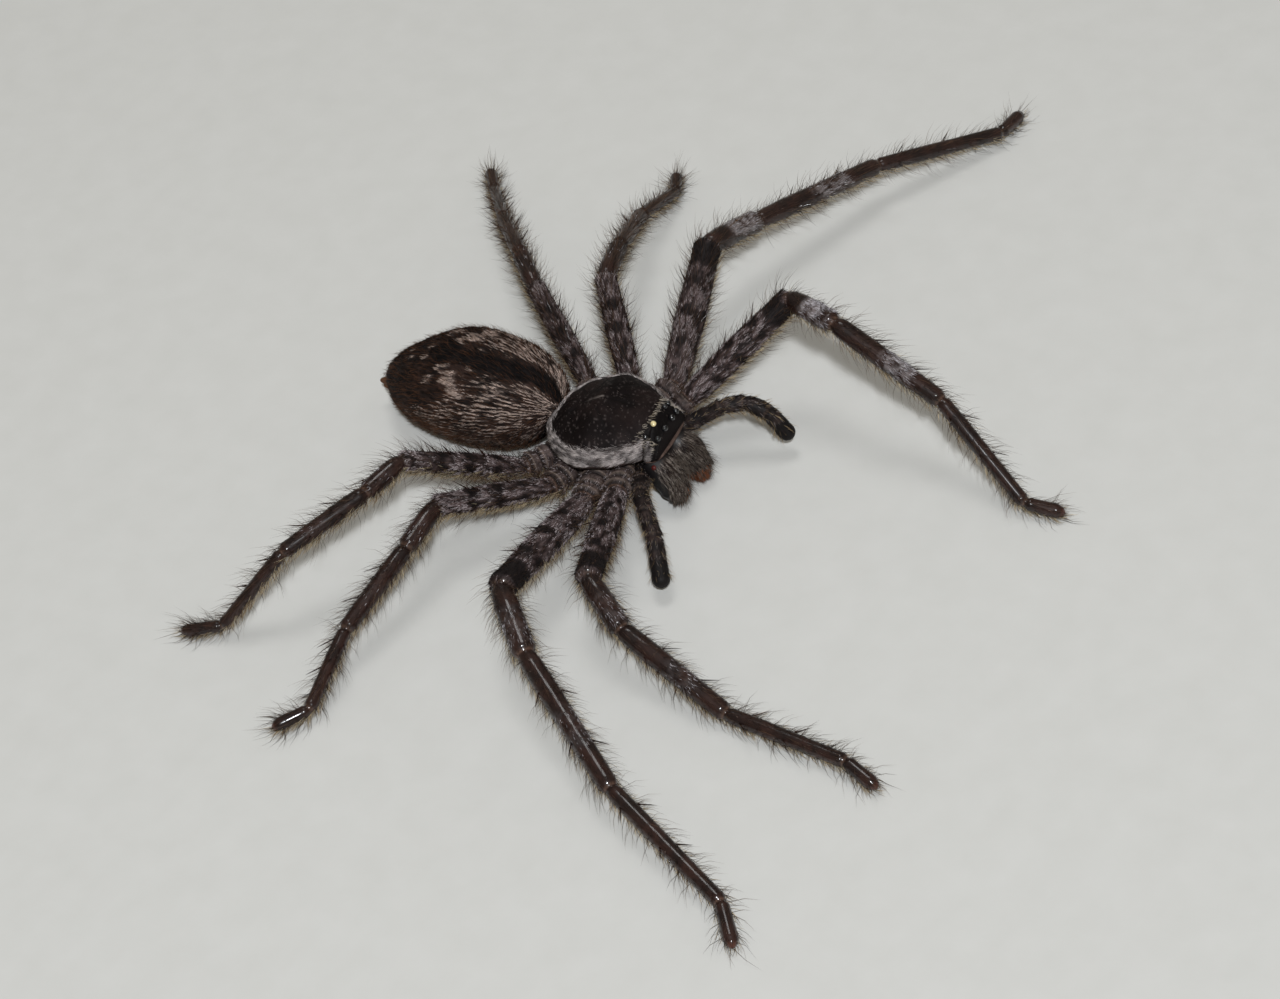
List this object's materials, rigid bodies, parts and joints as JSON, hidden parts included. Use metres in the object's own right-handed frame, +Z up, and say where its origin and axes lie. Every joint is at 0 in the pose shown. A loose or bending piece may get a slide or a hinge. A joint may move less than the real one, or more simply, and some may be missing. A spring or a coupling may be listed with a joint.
{
  "type": "huntsman spider",
  "caption": "Life-size still model of a large grey huntsman spider standing flat with its long legs spread sideways and forward, hairy, mottled brown and cream.",
  "frame": {"origin": "on the floor under the middle of the model's bounding box", "axes": "+Z up; -Y is the way the spider faces; +X is its left side"},
  "size_m": [0.097, 0.0684, 0.0121],
  "materials": {
    "shield": "dark brown-black shield, satin, with a pale hairy rim",
    "eye": "shining black eyes on a black mound",
    "underside": "brown breast plate, downy",
    "abdomen": "dark brown short fur mottled with pale pinkish cream",
    "spinneret": "orange brown, downy",
    "jaw": "grey brown with hair and an orange fringe",
    "fang": "hard shining dark brown",
    "palp": "dark brown, hairy",
    "leg_base": "grey brown down with round black spots",
    "leg_shank": "dark red brown, satin, with white hair patches"
  },
  "bodies": {
    "root": {"carapace": "shield", "eyes": "eye", "sternum": "underside", "pedicel": "underside", "abdomen": "abdomen", "spinnerets": "spinneret", "chelicera_left": "jaw", "chelicera_right": "jaw", "fang_left": "fang", "fang_right": "fang", "palp_left": "palp", "palp_right": "palp", "coxa_left_1": "leg_base", "femur_left_1": "leg_base", "patella_left_1": "leg_shank", "tibia_left_1": "leg_shank", "metatarsus_left_1": "leg_shank", "tarsus_left_1": "leg_shank", "coxa_left_2": "leg_base", "femur_left_2": "leg_base", "patella_left_2": "leg_shank", "tibia_left_2": "leg_shank", "metatarsus_left_2": "leg_shank", "tarsus_left_2": "leg_shank", "coxa_left_3": "leg_base", "femur_left_3": "leg_base", "patella_left_3": "leg_shank", "tibia_left_3": "leg_shank", "metatarsus_left_3": "leg_shank", "tarsus_left_3": "leg_shank", "coxa_left_4": "leg_base", "femur_left_4": "leg_base", "patella_left_4": "leg_shank", "tibia_left_4": "leg_shank", "metatarsus_left_4": "leg_shank", "tarsus_left_4": "leg_shank", "coxa_right_1": "leg_base", "femur_right_1": "leg_base", "patella_right_1": "leg_shank", "tibia_right_1": "leg_shank", "metatarsus_right_1": "leg_shank", "tarsus_right_1": "leg_shank", "coxa_right_2": "leg_base", "femur_right_2": "leg_base", "patella_right_2": "leg_shank", "tibia_right_2": "leg_shank", "metatarsus_right_2": "leg_shank", "tarsus_right_2": "leg_shank", "coxa_right_3": "leg_base", "femur_right_3": "leg_base", "patella_right_3": "leg_shank", "tibia_right_3": "leg_shank", "metatarsus_right_3": "leg_shank", "tarsus_right_3": "leg_shank", "coxa_right_4": "leg_base", "femur_right_4": "leg_base", "patella_right_4": "leg_shank", "tibia_right_4": "leg_shank", "metatarsus_right_4": "leg_shank", "tarsus_right_4": "leg_shank"}
  },
  "joints": []
}
